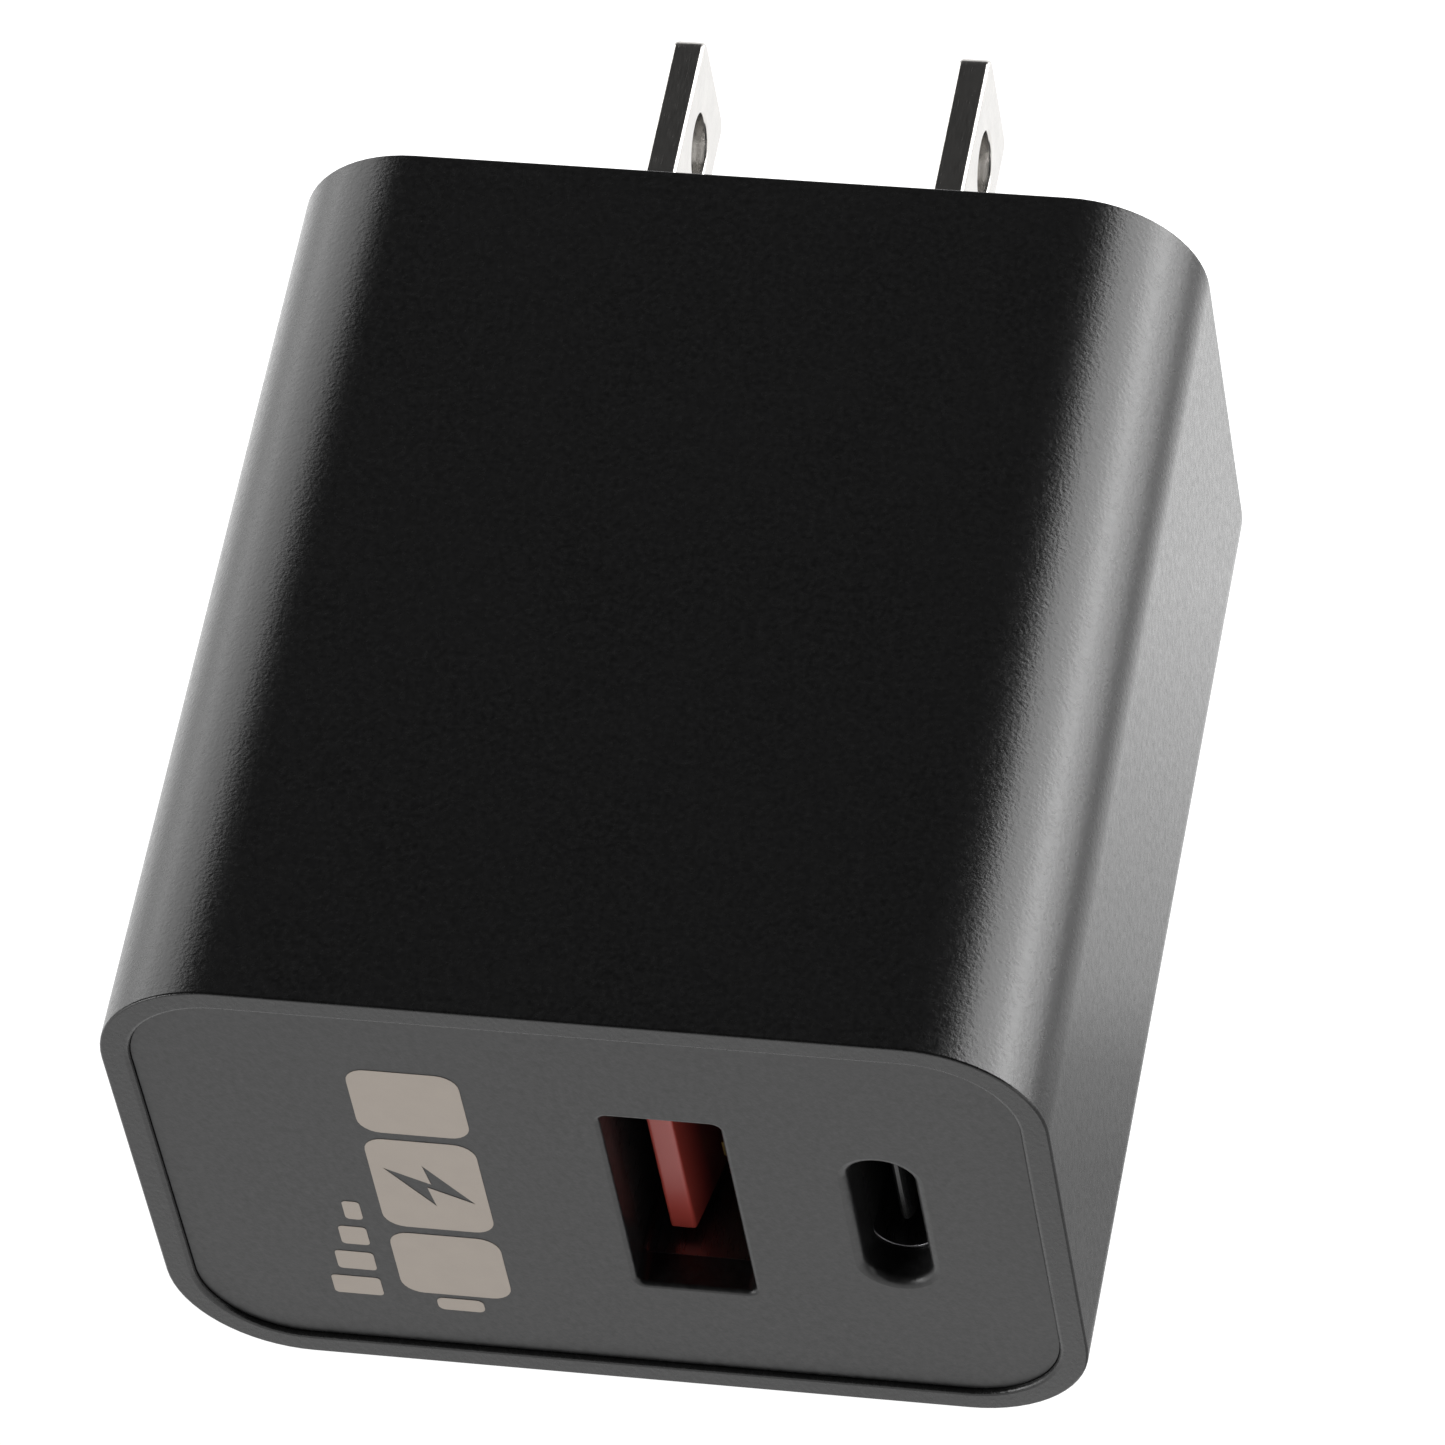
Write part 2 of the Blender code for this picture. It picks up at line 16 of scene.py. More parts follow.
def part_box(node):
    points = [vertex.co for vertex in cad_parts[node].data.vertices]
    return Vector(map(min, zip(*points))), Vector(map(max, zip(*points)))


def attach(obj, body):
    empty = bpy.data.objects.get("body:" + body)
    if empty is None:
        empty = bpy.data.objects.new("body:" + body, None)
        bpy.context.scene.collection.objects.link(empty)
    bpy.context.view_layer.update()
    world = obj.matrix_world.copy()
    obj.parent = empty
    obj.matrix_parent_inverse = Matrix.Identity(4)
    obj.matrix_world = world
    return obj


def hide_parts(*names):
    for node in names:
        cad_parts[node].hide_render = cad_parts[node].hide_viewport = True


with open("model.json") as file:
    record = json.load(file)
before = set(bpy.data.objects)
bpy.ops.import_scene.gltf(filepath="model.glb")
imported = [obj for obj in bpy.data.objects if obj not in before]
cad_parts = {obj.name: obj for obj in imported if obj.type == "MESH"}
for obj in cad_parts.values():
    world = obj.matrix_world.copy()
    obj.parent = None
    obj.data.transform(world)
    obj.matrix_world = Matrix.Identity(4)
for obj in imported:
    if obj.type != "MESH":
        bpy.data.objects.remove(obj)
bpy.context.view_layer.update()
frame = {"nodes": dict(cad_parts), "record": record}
SCENE = bpy.context.scene
MM = 0.001

# ---------------------------------------------------------------- sizes


def span(node):
    """Lowest and highest corner of a CAD node, in millimetres."""
    low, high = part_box(node)
    return low / MM, high / MM


HOUSE_LOW, HOUSE_HIGH = span("housing_shell")
WIDTH = HOUSE_HIGH.x - HOUSE_LOW.x
HEIGHT = HOUSE_HIGH.z - HOUSE_LOW.z
FRONT = HOUSE_LOW.y
CORNER_R = 5.5
WALL, REAR_WALL = 1.8, 2.0
RIM = 1.2
FRONT_ROUND, REAR_ROUND, LIP_ROUND = 0.1, 0.1, 0.2
OPENING_ROUND = 0.12  # at the rim of the carrier's opening, and on the carrier
BODY_STEPS = 16
RAIL_THICK, RAIL_SINK, RAIL_REACH = 0.8, 0.9, 1.85  # sunk into the wall, out of the wall

PLATE_FRONT = span("front_plate")[0].y
PLATE_THICK = 1.6
PLATE_BACK = PLATE_FRONT + PLATE_THICK
SEAT = FRONT + 2.1
PLATE_SEAM = 0.012
PLATE_ROUND = 0.03
TAB_SIZE = (4.0, 3.0, 1.0)
TAB_X = (-4.0, 8.0)

USB_A_LOW, USB_A_HIGH = span("usb_a_shell")
USB_A = (USB_A_LOW + USB_A_HIGH) / 2
USB_A_WALL = 0.3
USB_A_OUTER = (USB_A_HIGH.x - USB_A_LOW.x, USB_A_HIGH.z - USB_A_LOW.z)
USB_A_CORNER, USB_A_LIP = 0.65, 0.02
MOUTH_A = (USB_A_OUTER[0] - 2 * USB_A_WALL, USB_A_OUTER[1] - 2 * USB_A_WALL)
MOUTH_A_TRIM = (0.2, 0.1)  # the plate's opening is this much smaller than the can's
MOUTH_A_R, MOUTH_A_ROUND = 0.4, 0.22
USB_C_LOW, USB_C_HIGH = span("usb_c_shell")
USB_C = (USB_C_LOW + USB_C_HIGH) / 2
USB_C_WALL = 0.3
USB_C_OUTER = (USB_C_HIGH.x - USB_C_LOW.x, USB_C_HIGH.z - USB_C_LOW.z)
USB_C_LIP = 0.04
MOUTH_C = (2.72, 8.92)
MOUTH_C_ROUND, MOUTH_C_DRAFT = 0.42, 0.1
SHELL_FRONT, SHELL_BACK = PLATE_BACK + 0.03, USB_A_HIGH.y

TONGUE_LOW, TONGUE_HIGH = span("usb_a_insulator")
TONGUE_X = (-1.47, 0.38)  # the tongue's flats, from the socket's middle
TONGUE_WIDE = 11.2
TONGUE_NOSE = (1.1, 3.6)  # the slanted nose starts this far in, and ends this far back
TONGUE_EDGE = 0.12
TONGUE_PAINTED_SHADE = (0.05, 2.0)  # from the tip: where the painted shade on the red starts, and where it reaches its darkest
BASE_A, BASE_C = -32.6, -34.4  # fronts of the insulating bases
C_THICK, C_WIDE = 0.7, 6.7
C_NOSE = ((0.0, 0.27), (0.06, 0.2), (0.2, 0.1), (0.5, 0.02), (0.9, 0.0))
C_COLLAR = (1.5, 7.6)
C_PINS, C_PITCH, C_PIN_HALF = 12, 0.5, 0.12
C_LONG_PINS, C_PIN_START = (0, 3, 8, 11), (1.1, 1.4)  # long and short, behind the tip
C_PIN_X = (0.352, 0.4)

CARRIER_LOW, CARRIER_HIGH = span("blade_carrier")
BLADE_Z = (CARRIER_LOW.z + CARRIER_HIGH.z) / 2
CARRIER = (22.4, 9.8)
CARRIER_R, CARRIER_SEAM = 1.6, 0.06
CARRIER_FLANGE = 1.5

BLADE_LOW, BLADE_HIGH = span("blade_left")
BLADE_PITCH = 12.7
BLADE_THICK = BLADE_HIGH.x - BLADE_LOW.x
BLADE_WIDE = BLADE_HIGH.z - BLADE_LOW.z
BLADE_NOSE_R, BLADE_ROOT_R, BLADE_ROUND = 0.7, 0.15, 0.18
BLADE_HOLE = (11.95, 1.6)  # distance from the outlet face, radius
BLADE_HOLE_ROUND = 0.12
BLADE_SLOT_GAP, BLADE_SLOT_R = 0.1, 0.16

INK_THICK = 0.02
MARK_X, MARK_WIDE = -7.1, 4.7
BLOCK_R = 0.9
BLOCKS_Z, BLOCK_HIGH, MIDDLE_HIGH = (6.1, -6.1), 4.6, 6.6
STUD = (2.0, 0.9, 0.3, -9.15)  # width, height, corner radius, place
BOLT = ((-1.8, 0.9), (0.1, 0.1), (-0.1, 1.2), (1.8, -0.9), (-0.1, -0.1), (0.1, -1.2))
BOLT_STRETCH = 1.25
BARS_X, BARS_Z, BARS_STEP = -10.35, -2.4, 1.95
BAR_HIGH, BAR_R, BAR_SHORT, BAR_GROWTH = 1.35, 0.2, 0.75, 0.45

AXES = {
    "X": lambda u, v, w: (w, u, v),
    "Y": lambda u, v, w: (u, w, v),
    "Z": lambda u, v, w: (u, v, w),
}
SMOOTH_BELOW = math.radians(34)  # between two curved facets
FLAT_BELOW = math.radians(0.3)  # faces that lie in one plane
ROUND_FROM = math.radians(7)  # where a flat area meets a round
FLAT_AREA = 0.4 * MM * MM

FLOOR_Z, FLOOR_GAP = HOUSE_LOW.z, 0.02
FLOOR_SIDE = 4000.0
FLOOR_GLOW = (1.0, 1.42)  # at the front and behind the object
FLOOR_FADE = (0.7, 1.4)  # further out on the left and on the right
CARD_LOW, CARD_HIGH = (19.6, -75.0), (75.0, 90.0)
CARD_FRONT = (
    (-60, 0.5),
    (-45, 0.55),
    (-37, 0.7),
    (-31, 0.69),
    (-25.6, 0.6),
    (-21, 0.36),
    (-16, 0.28),
    (-6, 0.1),
    (0, 0.0),
)
CARD_STRIP = ((28, 0.0), (44, 0.5), (50, 0.5), (70, 0.0))
CARD_LIFT = 0.3

# ---------------------------------------------------------------- outlines


def rounded(width, height, radius, steps=8, at=(0.0, 0.0)):
    """Outline of a rectangle with round corners, counter-clockwise."""
    radius = max(radius, 0.01)
    points = []
    for quarter, (su, sv) in enumerate(((1, 1), (-1, 1), (-1, -1), (1, -1))):
        cu = at[0] + su * (width / 2 - radius)
        cv = at[1] + sv * (height / 2 - radius)
        for step in range(steps + 1):
            angle = math.radians(90 * (quarter + step / steps))
            points.append((cu + radius * math.cos(angle), cv + radius * math.sin(angle)))
    return points


def circle(radius, steps=40, at=(0.0, 0.0)):
    angles = [2 * math.pi * step / steps for step in range(steps)]
    return [(at[0] + radius * math.cos(a), at[1] + radius * math.sin(a)) for a in angles]


def convex(corners, inset=0.0, radius=0.0, steps=4):
    """Convex counter-clockwise polygon, moved inward by inset, with its corners rounded."""
    count = len(corners)
    lines = []
    for i in range(count):
        a, b = Vector(corners[i]), Vector(corners[(i + 1) % count])
        along = (b - a).normalized()
        normal = Vector((-along.y, along.x))
        lines.append((a + normal * inset, along, normal))
    points = []
    for i in range(count):
        (p, d, n), (q, e, _) = lines[i - 1], lines[i]
        cross = d.x * e.y - d.y * e.x
        corner = p + d * ((q - p).x * e.y - (q - p).y * e.x) / cross
        bend = max(radius - inset, 0.004)
        turn = math.atan2(cross, d.dot(e))
        back = bend * math.tan(turn / 2)
        centre = corner - d * back + n * bend
        for step in range(steps + 1):
            angle = turn * step / steps
            spoke = -n * bend
            c, s = math.cos(angle), math.sin(angle)
            u = centre.x + spoke.x * c - spoke.y * s
            points.append((u, centre.y + spoke.x * s + spoke.y * c))
    return points


def quarter(place, inset, radius, outward, forward, steps=4):
    """Pairs of place and inset along a quarter round that joins two faces at right angles.

    The arc starts on the side wall and ends on the end face. outward is +1 where the wall's
    inset is the smaller of the two, and forward is the sign of the way along the axis.
    """
    pairs = []
    for step in range(steps + 1):
        angle = math.radians(90 * step / steps)
        pairs.append(
            (
                place - forward * radius * (1 - math.sin(angle)),
                inset + outward * radius * (1 - math.cos(angle)),
            )
        )
    return pairs


def both_ends(low, high, radius, outward):
    """Pairs of place and inset for a wall with a quarter round at each end."""
    first = quarter(low, 0.0, radius, outward, -1, 3)
    return first[::-1] + quarter(high, 0.0, radius, outward, 1, 3)


# ---------------------------------------------------------------- solids


def loops_of(bm, sections, axis):
    return [
        [bm.verts.new(Vector(AXES[axis](u, v, place)) * MM) for u, v in points]
        for place, points in sections
    ]


def walls(bm, loops, ring=False):
    pairs = list(zip(loops, loops[1:]))
    if ring:
        pairs.append((loops[-1], loops[0]))
    for first, second in pairs:
        for i in range(len(first)):
            j = (i + 1) % len(first)
            bm.faces.new((first[i], first[j], second[j], second[i]))


def tube(sections, axis="Y"):
    """Closed solid that runs through every outline and back to the first one."""
    bm = bmesh.new()
    walls(bm, loops_of(bm, sections, axis), ring=True)
    bmesh.ops.recalc_face_normals(bm, faces=bm.faces)
    return bm


def panel(outer, holes=(), axis="Y"):
    """Closed solid with flat end faces, pierced by holes that run between the same two ends."""
    bm = bmesh.new()
    stacks = [loops_of(bm, sections, axis) for sections in (outer, *holes)]
    for loops in stacks:
        walls(bm, loops)
    for end in (0, -1):
        edges = []
        for loops in stacks:
            loop = loops[end]
            edges += [bm.edges.get((a, b)) for a, b in zip(loop, loop[1:] + loop[:1])]
        bmesh.ops.triangle_fill(bm, use_beauty=True, use_dissolve=False, edges=edges)
    bmesh.ops.recalc_face_normals(bm, faces=bm.faces)
    return bm


def block(low, high, edge=0.0, axis="Z"):
    """Box between two corners; its outline is rounded and its two ends are eased by edge."""
    (lu, lv, lw), (hu, hv, hw) = low, high
    centre = ((lu + hu) / 2, (lv + hv) / 2)

    def outline(inset):
        return rounded(hu - lu - 2 * inset, hv - lv - 2 * inset, edge - inset + 0.012, 3, centre)

    if not edge:
        return panel([(lw, outline(0.0)), (hw, outline(0.0))], axis=axis)
    rise = [(lw + edge, 0.0), (hw - edge, 0.0)]
    first = [(w, i) for w, i in reversed(quarter(lw, 0.0, edge, 1, -1, 3))]
    last = quarter(hw, 0.0, edge, 1, 1, 3)
    return panel([(w, outline(i)) for w, i in first[:-1] + rise + last[1:]], axis=axis)


def merged(pieces):
    """One bmesh from separate closed solids that don't touch each other."""
    whole = bmesh.new()
    for bm in pieces:
        mesh = bpy.data.meshes.new("part")
        bm.to_mesh(mesh)
        bm.free()
        whole.from_mesh(mesh)
        bpy.data.meshes.remove(mesh)
    return whole


def union(first, *others):
    """One closed bmesh from solids that overlap."""
    base = bpy.data.objects.new("base", bpy.data.meshes.new("base"))
    first.to_mesh(base.data)
    first.free()
    SCENE.collection.objects.link(base)
    for other in others:
        tool = bpy.data.objects.new("tool", bpy.data.meshes.new("tool"))
        other.to_mesh(tool.data)
        other.free()
        SCENE.collection.objects.link(tool)
        step = base.modifiers.new("join", "BOOLEAN")
        step.operation, step.solver, step.object = "UNION", "EXACT", tool
        graph = bpy.context.evaluated_depsgraph_get()
        joined = bpy.data.meshes.new_from_object(base.evaluated_get(graph))
        base.modifiers.clear()
        base.data = joined
        bpy.data.objects.remove(tool)
    bm = bmesh.new()
    bm.from_mesh(base.data)
    bpy.data.objects.remove(base)
    return bm


def crease(bm):
    """Smooth rounds with crisp borders: flat areas stay flat up to where a round begins."""
    for face in bm.faces:
        face.smooth = True
    area_of = {}
    for face in bm.faces:
        if face in area_of:
            continue
        flat, queue = {face}, [face]
        while queue:
            for edge in queue.pop().edges:
                if len(edge.link_faces) == 2 and edge.calc_face_angle() < FLAT_BELOW:
                    fresh = [f for f in edge.link_faces if f not in flat]
                    flat.update(fresh)
                    queue += fresh
        total = sum(f.calc_area() for f in flat)
        area_of.update((f, total) for f in flat)
    for edge in bm.edges:
        if len(edge.link_faces) != 2:
            continue
        angle = edge.calc_face_angle()
        largest = max(area_of[f] for f in edge.link_faces)
        edge.smooth = angle < (ROUND_FROM if largest > FLAT_AREA else SMOOTH_BELOW)


def piece(name, bm, look, nodes=()):
    """Finished piece: crisp or smooth edges by their angle, its material, body and CAD node."""
    mesh = bpy.data.meshes.new(name)
    crease(bm)
    bm.to_mesh(mesh)
    bm.free()
    mesh.materials.append(look)
    made = bpy.data.objects.new(name, mesh)
    SCENE.collection.objects.link(made)
    weighted = made.modifiers.new("flat_faces", "WEIGHTED_NORMAL")
    weighted.keep_sharp = True
    weighted.weight = 100
    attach(made, "root")
    if nodes:
        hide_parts(*nodes)
    return made


# ---------------------------------------------------------------- materials


class Look:
    """Small helper that builds one node material around a Principled shader."""

    def __init__(self, name):
        self.material = bpy.data.materials.new(name)
        self.material.use_nodes = True
        self.tree = self.material.node_tree
        self.shader = self.tree.nodes["Principled BSDF"]
        self.place = self.node("ShaderNodeTexCoord").outputs["Object"]

    def node(self, kind, **settings):
        made = self.tree.nodes.new(kind)
        for key, value in settings.items():
            setattr(made, key, value)
        return made

    def link(self, source, target):
        self.tree.links.new(source, target)

    def stretched(self, scale):
        """Object coordinates scaled apart along the three axes."""
        mapping = self.node("ShaderNodeMapping")
        mapping.inputs["Scale"].default_value = scale
        self.link(self.place, mapping.inputs["Vector"])
        return mapping.outputs["Vector"]

    def noise(self, size, detail=2.0, rough=0.5, scale=None):
        """Noise with features of about the given size in millimetres."""
        made = self.node("ShaderNodeTexNoise")
        made.inputs["Scale"].default_value = 1.0 / (size * MM)
        made.inputs["Detail"].default_value = detail
        made.inputs["Roughness"].default_value = rough
        self.link(self.stretched(scale) if scale else self.place, made.inputs["Vector"])
        return made.outputs["Fac"]

    def ramp(self, source, low, high, start=0.3, end=0.7):
        """Number from low to high as the source goes from start to end."""
        made = self.node("ShaderNodeMapRange")
        made.inputs["From Min"].default_value = start
        made.inputs["From Max"].default_value = end
        made.inputs["To Min"].default_value = low
        made.inputs["To Max"].default_value = high
        self.link(source, made.inputs["Value"])
        return made.outputs["Result"]

    def math(self, operation, first, second):
        made = self.node("ShaderNodeMath", operation=operation)
        self.link(first, made.inputs[0])
        self.link(second, made.inputs[1])
        return made.outputs["Value"]

    def curve(self, source, start, end, stops):
        """Level that follows stops of place and level along a coordinate, in millimetres."""
        made = self.node("ShaderNodeValToRGB")
        self.link(self.ramp(source, 0.0, 1.0, start * MM, end * MM), made.inputs["Fac"])
        marks = made.color_ramp.elements
        while len(marks) < len(stops):
            marks.new(0.5)
        for mark, (place, level) in zip(marks, stops):
            mark.position = (place - start) / (end - start)
            mark.color = (level, level, level, 1.0)
        return made.outputs["Color"]

    def blend(self, source, first, second):
        """Colour between two colours or sockets, by the source."""
        made = self.node("ShaderNodeMix", data_type="RGBA")
        for index, colour in ((6, first), (7, second)):
            if isinstance(colour, tuple):
                made.inputs[index].default_value = (*colour, 1.0)
            else:
                self.link(colour, made.inputs[index])
        self.link(source, made.inputs[0])
        return made.outputs[2]

    def bump(self, source, depth, strength=1.0, under=None):
        """Bump of the given depth in millimetres, on top of another one."""
        made = self.node("ShaderNodeBump")
        made.inputs["Strength"].default_value = strength
        made.inputs["Distance"].default_value = depth * MM
        self.link(source, made.inputs["Height"])
        if under:
            self.link(under, made.inputs["Normal"])
        return made.outputs["Normal"]

    def set(self, colour=None, roughness=None, normal=None, **fixed):
        for key, value in (("Base Color", colour), ("Roughness", roughness), ("Normal", normal)):
            if value is None:
                continue
            if isinstance(value, float):
                self.shader.inputs[key].default_value = value
            else:
                self.link(value, self.shader.inputs[key])
        for key, value in fixed.items():
            self.shader.inputs[key.replace("_", " ")].default_value = value
        return self.material


def shade(colour, factor):
    return tuple(min(1.0, c * factor) for c in colour)


def satin_plastic(name, colour, roughness, grain=0.017, mottle=0.24, vary=0.5):
    """Spark-eroded moulded plastic: fine even grain over a slow variation."""
    look = Look(name)
    pull = (1.0, 1.0, 0.6)
    fine = look.noise(0.17, 3.0, 0.6, pull)
    slow = look.noise(5.0, 3.0)
    spots = look.noise(mottle, 3.0, 0.6, pull)
    tone = look.blend(look.ramp(spots, 0.0, 1.0), shade(colour, 1 - vary), shade(colour, 1 + vary))
    worn = look.blend(look.ramp(slow, 0.0, 0.4), tone, shade(colour, 1.25))
    rough = look.ramp(look.noise(0.3, 2.0, 0.5, pull), roughness - 0.04, roughness + 0.04)
    swell = look.bump(look.noise(1.6, 2.0), 0.006, 0.3)
    return look.set(worn, rough, look.bump(fine, grain, 1.0, swell), Specular_IOR_Level=0.45)


def plated_metal(name, colour, roughness, direction, line=0.05, depth=0.002, stain=0.12, rim=1.0):
    """Plated strip with fine rolling lines along one axis and slight tarnish."""
    look = Look(name)
    scale = tuple(0.06 if axis == direction else 1.0 for axis in "XYZ")
    lines = look.noise(line, 4.0, 0.6, scale)
    cloud = look.noise(1.4, 4.0, 0.6)
    tone = look.blend(look.ramp(cloud, 0.0, 1.0), colour, shade(colour, 1 - stain))
    rough = look.ramp(lines, roughness - 0.06, roughness + 0.08)
    return look.set(
        tone, rough, look.bump(lines, depth, 0.5), Metallic=1.0, Specular_Tint=(rim, rim, rim, 1.0)
    )


def moulded(name, colour, roughness, grain=0.05, depth=0.003, vary=0.12):
    """Plain moulded or coated part: mild grain, mild cloudiness."""
    look = Look(name)
    fine = look.noise(grain, 2.0)
    cloud = look.noise(1.1, 3.0)
    tone = look.blend(look.ramp(cloud, 0.0, 1.0), shade(colour, 1 - vary), shade(colour, 1 + vary))
    rough = look.ramp(fine, roughness - 0.05, roughness + 0.05)
    return look.set(tone, rough, look.bump(fine, depth, 0.6))


def shaded_tongue_look():
    """Red moulding with painted shade: darker from its tip inwards, standing in for the shade deep
    inside the socket.
    """
    look = Look("tongue_red")
    fine = look.noise(0.05, 2.0)
    split = look.node("ShaderNodeSeparateXYZ")
    look.link(look.place, split.inputs["Vector"])
    near, far = ((TONGUE_LOW.y + back) * MM for back in TONGUE_PAINTED_SHADE)
    # painted shade: the red turns nearly black towards the back of the tongue, in place of the
    # socket's shade
    depth = look.ramp(split.outputs["Y"], 0.0, 1.0, near, far)
    tone = look.blend(depth, (0.43, 0.056, 0.042), (0.05, 0.006, 0.006))
    return look.set(tone, look.ramp(fine, 0.28, 0.38), look.bump(fine, 0.003, 0.6))


HOUSING = satin_plastic("graphite_satin", (0.0095, 0.0095, 0.0097), 0.25)
FACE = satin_plastic("graphite_face", (0.0095, 0.0095, 0.0097), 0.35, 0.011, 0.32, 0.8)
INSERT = satin_plastic("black_insert", (0.010, 0.010, 0.0105), 0.38, 0.010)
NICKEL = plated_metal("nickel_plate", (0.60, 0.585, 0.565), 0.2, "Y", rim=0.8)
STEEL = plated_metal("socket_steel", (0.30, 0.30, 0.31), 0.3, "Y", 0.08, 0.0008)
GOLD = plated_metal("gold_flash", (0.50, 0.34, 0.12), 0.38, "Y")
RED = shaded_tongue_look()
BLACK = moulded("tongue_black", (0.012, 0.012, 0.012), 0.3)
INK = moulded("warm_grey_ink", (0.37, 0.32, 0.275), 0.5, 0.05, 0.002, 0.02)

# ---------------------------------------------------------------- housing and plate


def body(inset):
    return rounded(WIDTH - 2 * inset, HEIGHT - 2 * inset, CORNER_R - inset, BODY_STEPS)


def carrier_outline(inset, steps):
    """Outline of the blade carrier as the outlet face shows it."""
    width, height = (size - 2 * inset for size in CARRIER)
    return rounded(width, height, CARRIER_R - inset, steps, (0.0, BLADE_Z))


def make_housing():
    """One-piece cup: rear wall with the carrier's opening, rounded edges, and the plate's seat."""
    opening = [(-REAR_WALL, 0.0)] + quarter(0.0, 0.0, OPENING_ROUND, -1, 1, 3)
    sections = [(y, carrier_outline(i, BODY_STEPS)) for y, i in opening]
    rear = quarter(0.0, 0.0, REAR_ROUND, 1, 1, 5)
    sections += [(y, body(i)) for y, i in reversed(rear)]
    sections += [(y, body(i)) for y, i in quarter(FRONT, 0.0, FRONT_ROUND, 1, -1, 4)]
    lip = quarter(FRONT, RIM, LIP_ROUND, -1, -1, 4)
    sections += [(y, body(i)) for y, i in reversed(lip)]
    sections += [(SEAT, body(RIM)), (SEAT, body(WALL)), (-REAR_WALL, body(WALL))]
    shell = tube(sections)
    board_low, board_high = span("main_board")
    inner = WIDTH / 2 - WALL
    rails = []
    for side in (-1, 1):
        for low in (board_low.z - 1.0, board_high.z + 0.2):
            left, right = sorted((side * (inner - RAIL_REACH), side * (inner + RAIL_SINK)))
            start, end = (left, board_low.y, low), (right, -REAR_WALL + 0.5, low + RAIL_THICK)
            rails.append(block(start, end))
    return piece("housing", union(shell, *rails), HOUSING, ["housing_shell"])


def mouth(width, height, radius, edge, at, steps, draft=0.0):
    """Hole through the plate with a rounded front edge; the size is that of its narrow part."""
    pairs = [(PLATE_BACK, draft)]
    pairs += quarter(PLATE_FRONT, 0.0, edge, -1, -1, 5)
    return [
        (y, rounded(width - 2 * i, height - 2 * i, radius - i, steps, at)) for y, i in pairs
    ]


def make_plate():
    """Flat plate with both port openings and the snap tabs behind it."""
    inset = RIM + PLATE_SEAM
    outer = [(PLATE_BACK, body(inset))]
    outer += [(y, body(i)) for y, i in quarter(PLATE_FRONT, inset, PLATE_ROUND, 1, -1, 3)]
    size_a = (MOUTH_A[0] - MOUTH_A_TRIM[0], MOUTH_A[1] - MOUTH_A_TRIM[1])
    radius_c = MOUTH_C[0] / 2 - 0.01
    holes = [
        mouth(*size_a, MOUTH_A_R, MOUTH_A_ROUND, (USB_A.x, USB_A.z), 6),
        mouth(*MOUTH_C, radius_c, MOUTH_C_ROUND, (USB_C.x, USB_C.z), 16, MOUTH_C_DRAFT),
    ]
    plate = panel(outer, holes)
    wide, long, thick = TAB_SIZE
    top = HEIGHT / 2 - WALL - 0.2
    tabs = []
    for side in (-1, 1):
        for x in TAB_X:
            low, high = sorted((side * (top - thick), side * top))
            start = (x - wide / 2, PLATE_BACK - 0.5, low)
            tabs.append(block(start, (x + wide / 2, PLATE_BACK + long, high)))
    return piece("face_plate", union(plate, *tabs), FACE, ["front_plate"])


def make_insert():
    """Insulating insert: an island flush with the outlet face, and its flange inside."""
    edge, back, step = OPENING_ROUND, CARRIER_LOW.y, -REAR_WALL - 0.2

    def flange(inset):
        grow = CARRIER_FLANGE - inset
        return rounded(CARRIER[0] + 2 * grow, CARRIER[1] + 2 * grow, CARRIER_R, 8, (0.0, BLADE_Z))

    def slot(inset, side):
        grow = BLADE_SLOT_GAP - 2 * inset
        at = (side * BLADE_PITCH / 2, BLADE_Z)
        return rounded(BLADE_THICK + grow, BLADE_WIDE + grow, BLADE_SLOT_R - inset, 4, at)

    outer = [(back, flange(0.2)), (back + 0.2, flange(0.0)), (step, flange(0.0))]
    island = [(step, 0.0)] + quarter(0.0, 0.0, edge, 1, 1, 3)
    outer += [(y, carrier_outline(i + CARRIER_SEAM, 8)) for y, i in island]
    through = [(back, 0.0)] + quarter(0.0, 0.0, edge, -1, 1, 3)
    holes = [[(y, slot(i, side)) for y, i in through] for side in (-1, 1)]
    return piece("blade_insert", panel(outer, holes), INSERT, ["blade_carrier"])


# ---------------------------------------------------------------- blades


def blade_outline(inset):
    """Side view of a blade, along and across it: round tip corners, nearly square root."""
    half = BLADE_WIDE / 2 - inset
    root, tip = BLADE_LOW.y + inset, BLADE_HIGH.y - inset
    points = []
    for cy, sv, start, radius in (
        (tip, 1, 0, BLADE_NOSE_R),
        (root, 1, 90, BLADE_ROOT_R),
        (root, -1, 180, BLADE_ROOT_R),
        (tip, -1, 270, BLADE_NOSE_R),
    ):
        bend = radius - inset
        away = -1 if cy == tip else 1
        for step in range(9):
            angle = math.radians(start + 90 * step / 8)
            y = cy + away * bend + bend * math.cos(angle)
            points.append((y, BLADE_Z + sv * (half - bend) + bend * math.sin(angle)))
    return points


def make_blade(name, node, side):
    x, half = side * BLADE_PITCH / 2, BLADE_THICK / 2
    at = (BLADE_HOLE[0], BLADE_Z)
    outer_pairs = both_ends(x - half, x + half, BLADE_ROUND, 1)
    hole_pairs = both_ends(x - half, x + half, BLADE_HOLE_ROUND, -1)
    outer = [(w, blade_outline(i)) for w, i in outer_pairs]
    hole = [(w, circle(BLADE_HOLE[1] - i, 40, at)) for w, i in hole_pairs]
    return piece(name, panel(outer, [hole], "X"), NICKEL, [node])


# ---------------------------------------------------------------- sockets


